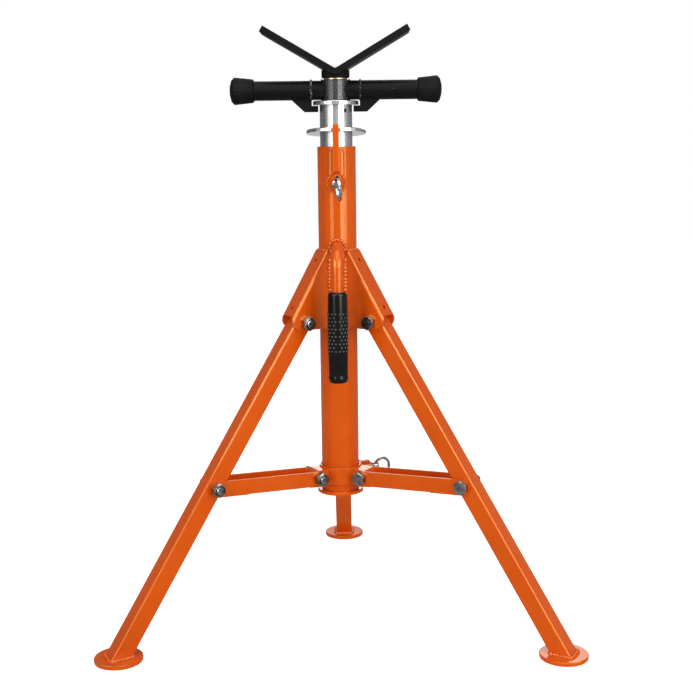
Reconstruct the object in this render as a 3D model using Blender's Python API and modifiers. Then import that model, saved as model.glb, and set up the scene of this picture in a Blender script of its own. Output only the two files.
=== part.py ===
"""Pipe jack stand: a V head on a screw in a telescoping tube, on a folding tripod.

Metres, +Z up, standing on its feet. The post stands over the middle of the foot circle, and
the origin is on the floor at the middle of the bounding box. Legs 1, 2 and 3 point to the
front left, the front right and the back.
"""
from math import asin, atan2, cos, hypot, pi, radians, sin, sqrt, tan

import bmesh
import bpy
from mathutils import Matrix, Vector

NAME = "pipe_jack_stand"

# Clearances
SEAT = 0.0003          # between pieces that rest on or fit in each other
OVERRUN = 0.004        # how far a cutter runs past what it cuts
EDGE = 0.0008          # broken edge of cut plate
MERGE = 0.00001        # merge distance of turned shapes

# Segments round a turned piece
ROUND_LARGE = 36
ROUND_SMALL = 20
ROUND_HOLE = 16
RING_WIRE_SIDES = 8
ARC_STEPS = 6
FINE_STEPS = 3

# Post: fixed outer tube
POST_RADIUS = 0.02415
POST_WALL = 0.0032
POST_BELOW_COLLAR = 0.0139
POST_TOP = 0.611
STOP_RING_WIDTH = 0.0057
STOP_RING_HEIGHT = 0.004
STOP_RING_LIFT = 0.0004

# Telescoping inner tube
INNER_RADIUS = 0.02025
INNER_WALL = 0.003
INNER_TUBE_LIFT = 0.007    # of its lower end above the post's
INNER_SHOWN = 0.0506
PIN_HOLE_PITCH = 0.075
PIN_HOLE_COUNT = 6
TOP_FLANGE_RADIUS = 0.0285
TOP_FLANGE_HEIGHT = 0.0049
TOP_FLANGE_BORE = 0.014
GUIDE_RING_RADIUS = 0.0372
GUIDE_RING_HEIGHT = 0.0045
GUIDE_RING_LIFT = 0.01775   # above the post
GUIDE_RING_TILT = radians(5.5)
GUIDE_RUNNING_GAP = 0.001
GUIDE_PIN_RADIUS = 0.0022
GUIDE_PIN_LIFT = 0.0437     # above the post
GUIDE_PIN_SIDE = 0.0118
GUIDE_PIN_PROUD = 0.0006

# Guide plate on the front of the post
GUIDE_PLATE_THICKNESS = 0.008
GUIDE_PLATE_OUTER = 0.036
GUIDE_PLATE_LAP = 0.031     # down the post
GUIDE_PLATE_PROUD = 0.027   # above the post

# Screw, nut and handles
SCREW_RADIUS = 0.012
SCREW_LENGTH = 0.2895
SCREW_TIP = 0.002
SCREW_COLLAR_RADIUS = 0.015
SCREW_COLLAR_HEIGHT = 0.0018
HUB_RADIUS = 0.0171
HUB_HEIGHT = 0.0253
HUB_EDGE = 0.001
ARM_RADIUS = 0.012
ARM_WALL = 0.003
ARM_EXPOSED_END = 0.1015
ARM_AXIS_DROP = 0.0124    # below the top of the hub
CAP_END = 0.132
CAP_SMALL_RADIUS = 0.0145
CAP_LARGE_RADIUS = 0.01685
CAP_CHAMFER = 0.0035
CAP_DOME = 0.0025
CAP_FLOOR = 0.004
CAP_LIP = 0.0015
HOOK_THICKNESS = 0.007
HOOK_DROP = 0.0084          # below the top flange
HOOK_INNER = 0.022
HOOK_TIP = 0.039
HOOK_ROOT = 0.0548
HOOK_FLANGE_GAP = 0.0015
HOOK_LIP_GAP = 0.0009

# V head
V_THICKNESS = 0.008
V_DEPTH = 0.050
V_SLOPE = radians(30.3)
V_SEAT_LIFT = 0.0114        # above the screw
V_HALF_SPAN = 0.0881
V_BEND = 0.003
BLOCK_RADIUS = 0.0175
BLOCK_LAP = 0.0019          # below the V seat

# Carry handle
HANDLE_ROD_RADIUS = 0.008
HANDLE_ROOT_RISE = 0.004    # above the brackets
HANDLE_REACH = 0.066
HANDLE_BEND = 0.030
GRIP_RADIUS = 0.0121
GRIP_BELLY = 0.0005
GRIP_LENGTH = 0.1132
GRIP_TOP_DROP = 0.0505      # below the root of the handle
GRIP_FLOOR = 0.005
GRIP_EDGE = 0.002
GRIP_RIM = 0.004

# Plungers
BOSS_RADIUS = 0.0107
BOSS_OUTER_WALL = 0.003
BOSS_BORE = 0.0076
BOSS_REACH = 0.01505      # from the surface that carries it to its outer face
PIN_RADIUS = 0.0045
PIN_TIP = 0.0008
PIN_COLLAR_RADIUS = 0.007
PIN_COLLAR_START = 0.00745
PIN_COLLAR_HEIGHT = 0.002
PIN_NECK_END = 0.0227
PIN_EYE_RADIUS = 0.0055
PIN_EYE_CENTRE = 0.02645
PIN_EYE_REACH = 0.0065
PIN_HOLE_RADIUS = 0.005
FRONT_PIN_DROP = 0.0453      # below the top of the post
COLLAR_PIN_LIFT = 0.0005    # above the collar pivots
COLLAR_PIN_AZIMUTH = radians(30)
PULL_RING_RADIUS = 0.014
PULL_RING_WIRE = 0.002
PULL_RING_DROP = 0.0051
PULL_RING_LEAN = radians(7)
PULL_RING_TURN = radians(9)
PULL_RING_PLAY = 0.00115   # lets the ring swing 15 degrees in its eye

# Tripod linkage, in the upright plane of one leg: distance from the post axis and height
LEG_AZIMUTHS = (radians(210), radians(330), radians(90))
LEG_SLOPE = radians(33.31)       # from the vertical
HIP_OUT = 0.0535
HIP_DROP = 0.218                 # below the top of the post
KNEE_DOWN_LEG = 0.23357
COLLAR_PIVOT_OUT = 0.038
COLLAR_PIVOT_DROP = 0.0083  # below the knees
LEG_FOLDED_SLOPE = radians(12)
FOLD_PATH_STEPS = 10

# Legs and feet
LEG_WIDTH = 0.024
LEG_DEPTH = 0.0228
LEG_WALL = 0.002
LEG_CORNER = 0.0025
LEG_ABOVE_HIP = 0.0095
HIP_TO_OUTER_FACE = 0.0136
FOOT_RADIUS = 0.02965
FOOT_THICKNESS = 0.005

# Leg brackets of bent sheet
BRACKET_WIDTH = 0.031
BRACKET_SHEET = 0.003
BRACKET_BEND = 0.0035
BRACKET_TOP_RISE = 0.089         # above the hips
BRACKET_LOW_DROP = 0.0086        # below the hips
BRACKET_LOW_OUT = 0.0734
BRACKET_SLOPE = radians(31.08)
BRACKET_CORNER = 0.012
BRACKET_WEB_END_RISE = 0.009     # above the hips
BRACKET_HOLE_RADIUS = 0.0025
BRACKET_HOLE_INSETS = (0.014, 0.082)   # down the web from its top edge

# Braces of bent channel
BRACE_WIDTH = 0.030
BRACE_SHEET = 0.0025
BRACE_BEND = 0.0027
BRACE_LOBE = 0.010
BRACE_PIVOT_BELOW_LIP = 0.009
BRACE_FOLD_SLACK = radians(0.4)   # play of the knee bolt, taken up when folded
BRACE_WEB_START = 0.014
BRACE_WEB_END = 0.100

# Collar that slides on the post
COLLAR_RADIUS = 0.0275
COLLAR_BORE = 0.02525
COLLAR_BELOW_PIVOT = 0.0106
COLLAR_HEIGHT = 0.0224
COLLAR_EDGE = 0.0007
LUG_WIDTH = 0.0244
LUG_RADIUS = 0.0098

# M10 bolts and lock nuts
BOLT_RADIUS = 0.005
BOLT_HOLE_RADIUS = 0.0053
HEX_ACROSS_FLATS = 0.016
HEX_CHAMFER = 0.0012
HEAD_HEIGHT = 0.0064
NUT_HEIGHT = 0.008
NUT_CROWN_RADIUS = 0.0066
NUT_CROWN_HEIGHT = 0.0016
BOLT_PROUD = 0.0015

# Finishes: colour, roughness, metallic
ORANGE = ((0.80, 0.16, 0.02, 1.0), 0.30, 0.0)
BRIGHT_STEEL = ((0.62, 0.62, 0.60, 1.0), 0.22, 1.0)
ZINC = ((0.50, 0.49, 0.46, 1.0), 0.35, 1.0)
BLACK_PAINT = ((0.015, 0.015, 0.016, 1.0), 0.25, 0.0)
BLACK_RUBBER = ((0.02, 0.02, 0.02, 1.0), 0.60, 0.0)

# Sizes that follow from the ones above
HIP_Z = POST_TOP - HIP_DROP
LEG_INNER_FACE = LEG_DEPTH - HIP_TO_OUTER_FACE
LEG_CENTRE = HIP_TO_OUTER_FACE - LEG_DEPTH / 2
FOOT_OUT = HIP_OUT + (HIP_Z - FOOT_THICKNESS) * tan(LEG_SLOPE) + LEG_CENTRE / cos(LEG_SLOPE)
POST_Y = -FOOT_OUT / 4
KNEE_OUT = HIP_OUT + KNEE_DOWN_LEG * sin(LEG_SLOPE)
KNEE_Z = HIP_Z - KNEE_DOWN_LEG * cos(LEG_SLOPE)
COLLAR_PIVOT_Z = KNEE_Z - COLLAR_PIVOT_DROP
COLLAR_BOTTOM = COLLAR_PIVOT_Z - COLLAR_BELOW_PIVOT
BRACKET_TOP_Z = HIP_Z + BRACKET_TOP_RISE
BRACKET_LOW_Z = HIP_Z - BRACKET_LOW_DROP
BRACKET_WEB_END_Z = HIP_Z + BRACKET_WEB_END_RISE
HANDLE_ROOT_Z = BRACKET_TOP_Z + HANDLE_ROOT_RISE
GRIP_TOP = HANDLE_ROOT_Z - GRIP_TOP_DROP
GRIP_BOTTOM = GRIP_TOP - GRIP_LENGTH
FRONT_PIN_Z = POST_TOP - FRONT_PIN_DROP
COLLAR_PIN_Z = COLLAR_PIVOT_Z + COLLAR_PIN_LIFT
POST_BOTTOM = COLLAR_BOTTOM - POST_BELOW_COLLAR
INNER_BOTTOM = POST_BOTTOM + INNER_TUBE_LIFT
INNER_TOP = POST_TOP + INNER_SHOWN
GUIDE_RING_Z = POST_TOP + GUIDE_RING_LIFT
GUIDE_PIN_Z = POST_TOP + GUIDE_PIN_LIFT
GUIDE_PLATE_TOP = POST_TOP + GUIDE_PLATE_PROUD
GUIDE_PLATE_BOTTOM = POST_TOP - GUIDE_PLATE_LAP
BRACE_LENGTH = hypot(KNEE_OUT - COLLAR_PIVOT_OUT, KNEE_Z - COLLAR_PIVOT_Z)
BRACE_RISE = atan2(KNEE_Z - COLLAR_PIVOT_Z, KNEE_OUT - COLLAR_PIVOT_OUT)
FOLDED_KNEE_OUT = HIP_OUT + KNEE_DOWN_LEG * sin(LEG_FOLDED_SLOPE) - COLLAR_PIVOT_OUT
FOLDED_KNEE_DROP = sqrt(BRACE_LENGTH ** 2 - FOLDED_KNEE_OUT ** 2)
COLLAR_TRAVEL = (HIP_Z - KNEE_DOWN_LEG * cos(LEG_FOLDED_SLOPE) + FOLDED_KNEE_DROP
                 - COLLAR_PIVOT_Z)
LEG_FOLD = LEG_SLOPE - LEG_FOLDED_SLOPE
BRACE_FOLD = BRACE_RISE + atan2(FOLDED_KNEE_DROP, FOLDED_KNEE_OUT) + BRACE_FOLD_SLACK
BRACE_DEPTH = 2 * BRACE_LOBE
FLANGE_BOTTOM = INNER_TOP + SEAT
FLANGE_TOP = FLANGE_BOTTOM + TOP_FLANGE_HEIGHT
HOOK_BOTTOM = FLANGE_BOTTOM - HOOK_DROP
HUB_BOTTOM = FLANGE_TOP + SEAT
HUB_TOP = HUB_BOTTOM + HUB_HEIGHT
ARM_Z = HUB_TOP - ARM_AXIS_DROP
SCREW_TOP = HUB_TOP + SEAT + SCREW_COLLAR_HEIGHT
BLOCK_BOTTOM = SCREW_TOP + SEAT
V_SEAT = SCREW_TOP + V_SEAT_LIFT
BLOCK_TOP = V_SEAT - BLOCK_LAP
FRONT_TIP = INNER_RADIUS + SEAT
COLLAR_TIP = POST_RADIUS + SEAT
FRONT = -pi / 2
GUIDE_PIN_AZIMUTH = FRONT + asin(GUIDE_PIN_SIDE / INNER_RADIUS)


# Helpers that make and place objects

def empty_scene():
    for old in list(bpy.data.objects):
        bpy.data.objects.remove(old, do_unlink=True)


def collection(name):
    made = bpy.data.collections.new(name)
    bpy.context.scene.collection.children.link(made)
    return made


def frame(name, parent=None, location=(0, 0, 0), rotation=(0, 0, 0)):
    """An empty that carries what is placed under it."""
    made = bpy.data.objects.new(name, None)
    parts.objects.link(made)
    made.parent = parent
    made.location = location
    made.rotation_euler = rotation
    return made


def add(name, mesh, parent=None, location=(0, 0, 0), rotation=(0, 0, 0), finish=None):
    """One piece of the stand, or without a finish a cutter."""
    made = bpy.data.objects.new(name, mesh)
    made.parent = parent
    made.location = location
    made.rotation_euler = rotation
    if finish is None:
        cutters.objects.link(made)
        made.hide_render = True
        made.display_type = "WIRE"
        return made
    parts.objects.link(made)
    material = bpy.data.materials.new(name)
    material.use_nodes = True
    shader = material.node_tree.nodes["Principled BSDF"]
    shader.inputs["Base Color"].default_value = finish[0]
    shader.inputs["Roughness"].default_value = finish[1]
    shader.inputs["Metallic"].default_value = finish[2]
    material.diffuse_color = finish[0]
    if not mesh.materials:
        mesh.materials.append(material)
    made.material_slots[0].link = "OBJECT"
    made.material_slots[0].material = material
    return made


def evaluated_mesh(source, name):
    """The finished mesh of an object, with its own modifiers done and its points welded."""
    graph = bpy.context.evaluated_depsgraph_get()
    mesh = bpy.data.meshes.new_from_object(source.evaluated_get(graph))
    mesh.name = name
    work = bmesh.new()
    work.from_mesh(mesh)
    bmesh.ops.remove_doubles(work, verts=work.verts, dist=MERGE)
    bmesh.ops.recalc_face_normals(work, faces=work.faces)
    work.to_mesh(mesh)
    work.free()
    return mesh


# Shapes

def arc(centre, radius, start, end, steps=ARC_STEPS):
    """Points along an arc of a flat outline, with angles in radians."""
    turns = [start + (end - start) * k / steps for k in range(steps + 1)]
    return [(centre[0] + radius * cos(turn), centre[1] + radius * sin(turn)) for turn in turns]


def turned(name, profile, ring=False, segments=ROUND_LARGE, **place):
    """(radius, height) points turned about Z, given down the outer side of the shape."""
    mesh = bpy.data.meshes.new(name)
    edges = [(k, k + 1) for k in range(len(profile) - 1)]
    if ring:
        edges.append((len(profile) - 1, 0))
    mesh.from_pydata([(radius, 0, height) for radius, height in profile], edges, [])
    made = add(name, mesh, **place)
    screw = made.modifiers.new("turn", "SCREW")
    screw.steps = segments
    screw.render_steps = segments
    screw.use_merge_vertices = True
    screw.merge_threshold = MERGE
    screw.use_smooth_shade = False
    return made


def prism_mesh(name, outlines, depth):
    """Flat outlines in X and Y, the later ones holes, extruded to both sides of the plane."""
    curve = bpy.data.curves.new(name, "CURVE")
    curve.dimensions = "2D"
    curve.fill_mode = "BOTH"
    curve.extrude = depth / 2
    for outline in outlines:
        spline = curve.splines.new("POLY")
        spline.points.add(len(outline) - 1)
        for point, (x, y) in zip(spline.points, outline):
            point.co = (x, y, 0, 1)
        spline.use_cyclic_u = True
    holder = bpy.data.objects.new(name, curve)
    cutters.objects.link(holder)
    mesh = evaluated_mesh(holder, name)
    bpy.data.objects.remove(holder, do_unlink=True)
    return mesh


def prism(name, outlines, depth, **place):
    return add(name, prism_mesh(name, outlines, depth), **place)


def upright(name, outline, width, parent=None, location=(0, 0, 0), finish=None):
    """An outline of (x, z) points, extruded evenly to both sides along Y."""
    turned_up = (pi / 2, 0, 0)
    return prism(name, [outline], width, parent=parent, location=location, rotation=turned_up,
                 finish=finish)


def rod_mesh(name, radius, start, end, segments=ROUND_SMALL):
    """A round or six-sided rod along Z."""
    mesh = bpy.data.meshes.new(name)
    work = bmesh.new()
    middle = Matrix.Translation((0, 0, (start + end) / 2))
    bmesh.ops.create_cone(work, cap_ends=True, segments=segments, radius1=radius,
                          radius2=radius, depth=end - start, matrix=middle)
    work.to_mesh(mesh)
    work.free()
    return mesh


def rod(name, radius, start, end, segments=ROUND_SMALL, **place):
    return add(name, rod_mesh(name, radius, start, end, segments), **place)


def box(name, low, high, **place):
    """A box between two corners."""
    mesh = bpy.data.meshes.new(name)
    work = bmesh.new()
    size = Vector(high) - Vector(low)
    middle = (Vector(high) + Vector(low)) / 2
    bmesh.ops.create_cube(work, size=1, matrix=Matrix.LocRotScale(middle, None, size))
    work.to_mesh(mesh)
    work.free()
    return add(name, mesh, **place)


def combine(target, other, operation="DIFFERENCE"):
    change = target.modifiers.new(operation.lower(), "BOOLEAN")
    change.operation = operation
    change.object = other
    change.solver = "EXACT"
    return target


def broken_edges(target, width=EDGE):
    bevel = target.modifiers.new("edges", "BEVEL")
    bevel.width = width
    bevel.segments = 1
    bevel.limit_method = "ANGLE"
    return target


def baked(source):
    """The finished mesh of an object, which is removed together with its cutters."""
    mesh = evaluated_mesh(source, source.name)
    used = [change.object for change in source.modifiers if change.type == "BOOLEAN"]
    bpy.data.objects.remove(source, do_unlink=True)
    for cutter in used:
        bpy.data.objects.remove(cutter, do_unlink=True)
    return mesh


def channel_outline(width, depth, sheet, bend, shift=0):
    """A sheet bent to a channel: its web lies at X = shift, its two walls run to -X."""
    half = width / 2
    inner_bend = bend - sheet
    outside = arc((shift - bend, half - bend), bend, pi / 2, 0, FINE_STEPS)
    outside += arc((shift - bend, bend - half), bend, 0, -pi / 2, FINE_STEPS)
    inside = arc((shift - bend, bend - half), inner_bend, -pi / 2, 0, 1)
    inside += arc((shift - bend, half - bend), inner_bend, 0, pi / 2, 1)
    mouth_up = [(shift - depth, half - sheet), (shift - depth, half)]
    mouth_down = [(shift - depth, -half), (shift - depth, sheet - half)]
    return outside + mouth_down + inside + mouth_up


def hull(points):
    """Convex outline round flat points."""
    ordered = sorted(set(points))

    def chain(sequence):
        kept = []
        for x, y in sequence:
            while len(kept) > 1:
                (ax, ay), (bx, by) = kept[-2], kept[-1]
                if (bx - ax) * (y - ay) - (by - ay) * (x - ax) > 0:
                    break
                kept.pop()
            kept.append((x, y))
        return kept[:-1]

    return chain(ordered) + chain(ordered[::-1])


def radial_hole(carrier, radius, azimuth, height, reach, start=0):
    """Cutter for a hole that points away from the post axis."""
    return rod("hole", radius, start, reach, segments=ROUND_HOLE,
               parent=frame_along(carrier, azimuth, height))


def frame_along(carrier, azimuth, height):
    """Empty whose Z points away from the post axis at one azimuth."""
    spoke = frame("spoke", carrier, (0, 0, height), (0, 0, azimuth))
    return frame("spoke_axis", spoke, (0, 0, 0), (0, pi / 2, 0))


# Post

def knee_path():
    """Places of the knee bolt in the brace during the fold: (along the brace, below its line)."""
    path = []
    for step in range(FOLD_PATH_STEPS + 1):
        part_done = step / FOLD_PATH_STEPS
        leg = LEG_SLOPE - pi / 2 - LEG_FOLD * part_done
        brace = BRACE_RISE - BRACE_FOLD * part_done
        out = HIP_OUT + KNEE_DOWN_LEG * cos(leg) - COLLAR_PIVOT_OUT
        rise = HIP_Z + KNEE_DOWN_LEG * sin(leg) - COLLAR_PIVOT_Z - COLLAR_TRAVEL * part_done
        along = out * cos(brace) + rise * sin(brace)
        below = out * sin(brace) - rise * cos(brace)
        path.append((along, below))
    return path


def outer_tube(post):
    bore = POST_RADIUS - POST_WALL
    profile = [(POST_RADIUS, POST_TOP), (POST_RADIUS, POST_BOTTOM), (bore, POST_BOTTOM),
               (bore, POST_TOP)]
    tube = turned("outer_tube", profile, ring=True, parent=post, finish=ORANGE)
    reach = POST_RADIUS + OVERRUN
    combine(tube, radial_hole(post, PIN_HOLE_RADIUS, FRONT, FRONT_PIN_Z, reach))
    for height in (COLLAR_PIN_Z, COLLAR_PIN_Z + COLLAR_TRAVEL):
        combine(tube, radial_hole(post, PIN_HOLE_RADIUS, COLLAR_PIN_AZIMUTH, height, reach))


def bottom_stop_ring(post):
    low = POST_BOTTOM + STOP_RING_LIFT
    high = low + STOP_RING_HEIGHT
    outside = POST_RADIUS + STOP_RING_WIDTH
    bore = POST_RADIUS + SEAT
    profile = [(outside - COLLAR_EDGE, high), (outside, high - COLLAR_EDGE), (outside, low),
               (bore, low), (bore, high)]
    turned("bottom_stop_ring", profile, ring=True, parent=post, finish=ORANGE)


def guide_plate(front):
    inner = POST_RADIUS + SEAT
    outline = [(inner, GUIDE_PLATE_BOTTOM), (GUIDE_PLATE_OUTER, GUIDE_PLATE_BOTTOM),
               (GUIDE_PLATE_OUTER, GUIDE_PLATE_TOP), (inner, GUIDE_PLATE_TOP)]
    plate = upright("guide_plate", outline, GUIDE_PLATE_THICKNESS, parent=front, finish=ORANGE)
    broken_edges(plate)


def carry_handle(front):
    """Bent rod from the front of the post, down into its grip."""
    root = sqrt(POST_RADIUS ** 2 - HANDLE_ROD_RADIUS ** 2) - OVERRUN
    corner = (HANDLE_REACH - HANDLE_BEND, HANDLE_ROOT_Z - HANDLE_BEND)
    path = [(root, HANDLE_ROOT_Z)] + arc(corner, HANDLE_BEND, pi / 2, 0)
    path.append((HANDLE_REACH, GRIP_BOTTOM + GRIP_FLOOR + SEAT))
    curve = bpy.data.curves.new("carry_handle", "CURVE")
    curve.dimensions = "3D"
    curve.bevel_depth = HANDLE_ROD_RADIUS
    curve.bevel_resolution = 4
    curve.use_fill_caps = True
    spline = curve.splines.new("POLY")
    spline.points.add(len(path) - 1)
    for point, (out, height) in zip(spline.points, path):
        point.co = (out, 0, height, 1)
    holder = bpy.data.objects.new("carry_handle", curve)
    cutters.objects.link(holder)
    mesh = evaluated_mesh(holder, "carry_handle")
    bpy.data.objects.remove(holder, do_unlink=True)
    handle = add("carry_handle", mesh, parent=front, finish=ORANGE)
    seat = rod("handle_seat", POST_RADIUS + SEAT, HANDLE_ROOT_Z - 2 * HANDLE_ROD_RADIUS,
               HANDLE_ROOT_Z + 2 * HANDLE_ROD_RADIUS, segments=ROUND_LARGE, parent=front)
    combine(handle, seat)


def handle_grip(front):
    bore = HANDLE_ROD_RADIUS + SEAT
    floor = GRIP_BOTTOM + GRIP_FLOOR
    middle = (GRIP_BOTTOM + GRIP_TOP) / 2
    profile = [(0, floor), (bore, floor), (bore, GRIP_TOP), (GRIP_RADIUS - GRIP_EDGE, GRIP_TOP),
               (GRIP_RADIUS, GRIP_TOP - GRIP_EDGE), (GRIP_RADIUS + GRIP_BELLY, middle),
               (GRIP_RADIUS, GRIP_BOTTOM + GRIP_RIM)]
    rounding = arc((GRIP_RADIUS - GRIP_RIM, GRIP_BOTTOM + GRIP_RIM), GRIP_RIM, 0, -pi / 2,
                   steps=FINE_STEPS)
    profile += rounding[1:] + [(0, GRIP_BOTTOM)]
    turned("handle_grip", profile, segments=ROUND_SMALL, parent=front,
           location=(HANDLE_REACH, 0, 0), finish=BLACK_RUBBER)


# Telescoping tube

def inner_tube(post):
    bore = INNER_RADIUS - INNER_WALL
    profile = [(INNER_RADIUS, INNER_TOP), (INNER_RADIUS, INNER_BOTTOM), (bore, INNER_BOTTOM),
               (bore, INNER_TOP)]
    tube = turned("inner_tube", profile, ring=True, parent=post, finish=BRIGHT_STEEL)
    reach = INNER_RADIUS + OVERRUN
    for count in range(PIN_HOLE_COUNT):
        height = FRONT_PIN_Z - count * PIN_HOLE_PITCH
        combine(tube, radial_hole(post, PIN_HOLE_RADIUS, FRONT, height, reach))
    combine(tube, radial_hole(post, GUIDE_PIN_RADIUS + SEAT, GUIDE_PIN_AZIMUTH, GUIDE_PIN_Z, reach))


def top_flange(post):
    profile = [(TOP_FLANGE_RADIUS - EDGE, FLANGE_TOP), (TOP_FLANGE_RADIUS, FLANGE_TOP - EDGE),
               (TOP_FLANGE_RADIUS, FLANGE_BOTTOM),
               (TOP_FLANGE_BORE, FLANGE_BOTTOM), (TOP_FLANGE_BORE, FLANGE_TOP)]
    turned("top_flange", profile, ring=True, parent=post, finish=BRIGHT_STEEL)


def guide_ring(post):
    """Ring on the inner tube whose notch runs on the guide plate, welded on a little askew."""
    half = GUIDE_RING_HEIGHT / 2
    profile = [(0, half), (GUIDE_RING_RADIUS - EDGE, half), (GUIDE_RING_RADIUS, half - EDGE),
               (GUIDE_RING_RADIUS, -half), (0, -half)]
    ring = turned("guide_ring", profile, parent=post, location=(0, 0, GUIDE_RING_Z),
                  rotation=(-GUIDE_RING_TILT, 0, 0), finish=BRIGHT_STEEL)
    low = GUIDE_RING_Z - GUIDE_RING_RADIUS / 2
    high = GUIDE_RING_Z + GUIDE_RING_RADIUS / 2
    combine(ring, rod("ring_bore", INNER_RADIUS + SEAT, low, high, segments=ROUND_LARGE, parent=post))
    side = GUIDE_PLATE_THICKNESS / 2 + GUIDE_RUNNING_GAP
    notch_root = POST_RADIUS + SEAT - GUIDE_RUNNING_GAP
    notch_end = GUIDE_RING_RADIUS + OVERRUN
    combine(ring, box("ring_notch", (-side, -notch_end, low), (side, -notch_root, high), parent=post))


def guide_pin(post):
    axis = frame_along(post, GUIDE_PIN_AZIMUTH, GUIDE_PIN_Z)
    rod("guide_pin", GUIDE_PIN_RADIUS, INNER_RADIUS - INNER_WALL,
        INNER_RADIUS + GUIDE_PIN_PROUD, parent=axis, finish=ZINC)


# Plungers

def plunger(name, carrier, azimuth, height, tip, carrier_radius, boss_finish):
    """Spring plunger: its boss on the carrier, its pin and its pull ring."""
    axis = frame_along(carrier, azimuth, height)
    outer_face = carrier_radius + SEAT + BOSS_REACH
    inner_end = sqrt(carrier_radius ** 2 - BOSS_RADIUS ** 2) - OVERRUN
    ceiling = outer_face - BOSS_OUTER_WALL
    mouth = PIN_RADIUS + SEAT
    profile = [(BOSS_RADIUS - EDGE, outer_face), (BOSS_RADIUS, outer_face - EDGE),
               (BOSS_RADIUS, inner_end), (BOSS_BORE, inner_end), (BOSS_BORE, ceiling),
               (mouth, ceiling), (mouth, outer_face)]
    boss = turned(name + "_plunger_boss", profile, ring=True, segments=ROUND_SMALL, parent=axis,
                  finish=boss_finish)
    seat = rod("boss_seat", carrier_radius + SEAT, height - 2 * BOSS_RADIUS,
               height + 2 * BOSS_RADIUS, segments=ROUND_LARGE, parent=carrier)
    combine(boss, seat)

    eye_end = PIN_EYE_CENTRE + PIN_EYE_REACH
    profile = arc((PIN_EYE_RADIUS - PIN_RADIUS / 2, eye_end - PIN_RADIUS / 2), PIN_RADIUS / 2,
                  pi / 2, 0)
    profile = [(0, eye_end)] + profile + [
        (PIN_EYE_RADIUS, PIN_NECK_END), (PIN_RADIUS, PIN_NECK_END),
        (PIN_RADIUS, PIN_COLLAR_START + PIN_COLLAR_HEIGHT),
        (PIN_COLLAR_RADIUS, PIN_COLLAR_START + PIN_COLLAR_HEIGHT),
        (PIN_COLLAR_RADIUS, PIN_COLLAR_START), (PIN_RADIUS, PIN_COLLAR_START),
        (PIN_RADIUS, PIN_TIP), (PIN_RADIUS - PIN_TIP, 0), (0, 0)]
    at_tip = frame(name + "_plunger_slide", axis, (0, 0, tip))
    pin = turned(name + "_plunger_pin", profile, segments=ROUND_SMALL, parent=at_tip, finish=ZINC)

    spoke = frame(name + "_pull_ring_spoke", carrier, (0, 0, height), (0, 0, azimuth))
    hinge = frame(name + "_pull_ring_hinge", spoke, (tip + PIN_EYE_CENTRE, 0, 0),
                  (0, 0, PULL_RING_TURN))
    combine(pin, pull_ring("ring_channel", hinge, PULL_RING_WIRE + PULL_RING_PLAY))
    pull_ring(name + "_pull_ring", hinge, PULL_RING_WIRE, finish=ZINC)


def pull_ring(name, hinge, wire, finish=None):
    """Wire ring in the upright plane of its plunger, hung in the eye of the pin."""
    lean = frame("lean", hinge, (0, 0, 0), (PULL_RING_LEAN, 0, 0))
    out = sqrt(PULL_RING_RADIUS ** 2 - PULL_RING_DROP ** 2)
    profile = arc((PULL_RING_RADIUS, 0), wire, pi / 2, -3 * pi / 2, steps=RING_WIRE_SIDES)[:-1]
    return turned(name, profile, ring=True, segments=ROUND_SMALL, parent=lean,
                  location=(out, 0, -PULL_RING_DROP), rotation=(pi / 2, 0, 0), finish=finish)


# Lifting head

def jack_screw(post):
    bottom = SCREW_TOP - SCREW_LENGTH
    under_collar = SCREW_TOP - SCREW_COLLAR_HEIGHT
    profile = [(0, SCREW_TOP), (SCREW_COLLAR_RADIUS, SCREW_TOP), (SCREW_COLLAR_RADIUS, under_collar),
               (SCREW_RADIUS, under_collar), (SCREW_RADIUS, bottom + SCREW_TIP),
               (SCREW_RADIUS - SCREW_TIP, bottom), (0, bottom)]
    turned("jack_screw", profile, segments=ROUND_SMALL, parent=post, finish=ZINC)


def v_outline(grow=0):
    """Bent plate seen from the front, its two arms rising from the bend."""
    centre = (0, V_SEAT + V_BEND)
    inner = V_BEND - grow
    outer = V_BEND + V_THICKNESS + grow
    foot = centre[1] - inner / cos(V_SLOPE)
    tip = (V_HALF_SPAN, foot + V_HALF_SPAN * tan(V_SLOPE))
    thick = outer - inner
    tip_below = (tip[0] + thick * sin(V_SLOPE), tip[1] - thick * cos(V_SLOPE))
    down = -pi / 2
    upper = arc(centre, inner, down - V_SLOPE, down + V_SLOPE)
    lower = arc(centre, outer, down + V_SLOPE, down - V_SLOPE)
    left = [(-tip_below[0], tip_below[1]), (-tip[0], tip[1])]
    return left + upper + [tip, tip_below] + lower


def v_plate(post):
    plate = upright("v_plate", v_outline(), V_DEPTH, parent=post, finish=BLACK_PAINT)
    broken_edges(plate)


def head_block(post):
    profile = [(0, BLOCK_TOP), (BLOCK_RADIUS, BLOCK_TOP), (BLOCK_RADIUS, BLOCK_BOTTOM + EDGE),
               (BLOCK_RADIUS - EDGE, BLOCK_BOTTOM), (0, BLOCK_BOTTOM)]
    block = turned("head_block", profile, parent=post, finish=BLACK_PAINT)
    combine(block, upright("v_seat", v_outline(SEAT), V_DEPTH + OVERRUN, parent=post))


# Nut and its handles

def nut_hub(post):
    bore = SCREW_RADIUS + SEAT
    profile = [(HUB_RADIUS - HUB_EDGE, HUB_TOP), (HUB_RADIUS, HUB_TOP - HUB_EDGE),
               (HUB_RADIUS, HUB_BOTTOM + EDGE), (HUB_RADIUS - EDGE, HUB_BOTTOM),
               (bore, HUB_BOTTOM), (bore, HUB_TOP)]
    turned("nut_hub", profile, ring=True, parent=post, finish=BLACK_PAINT)


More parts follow.
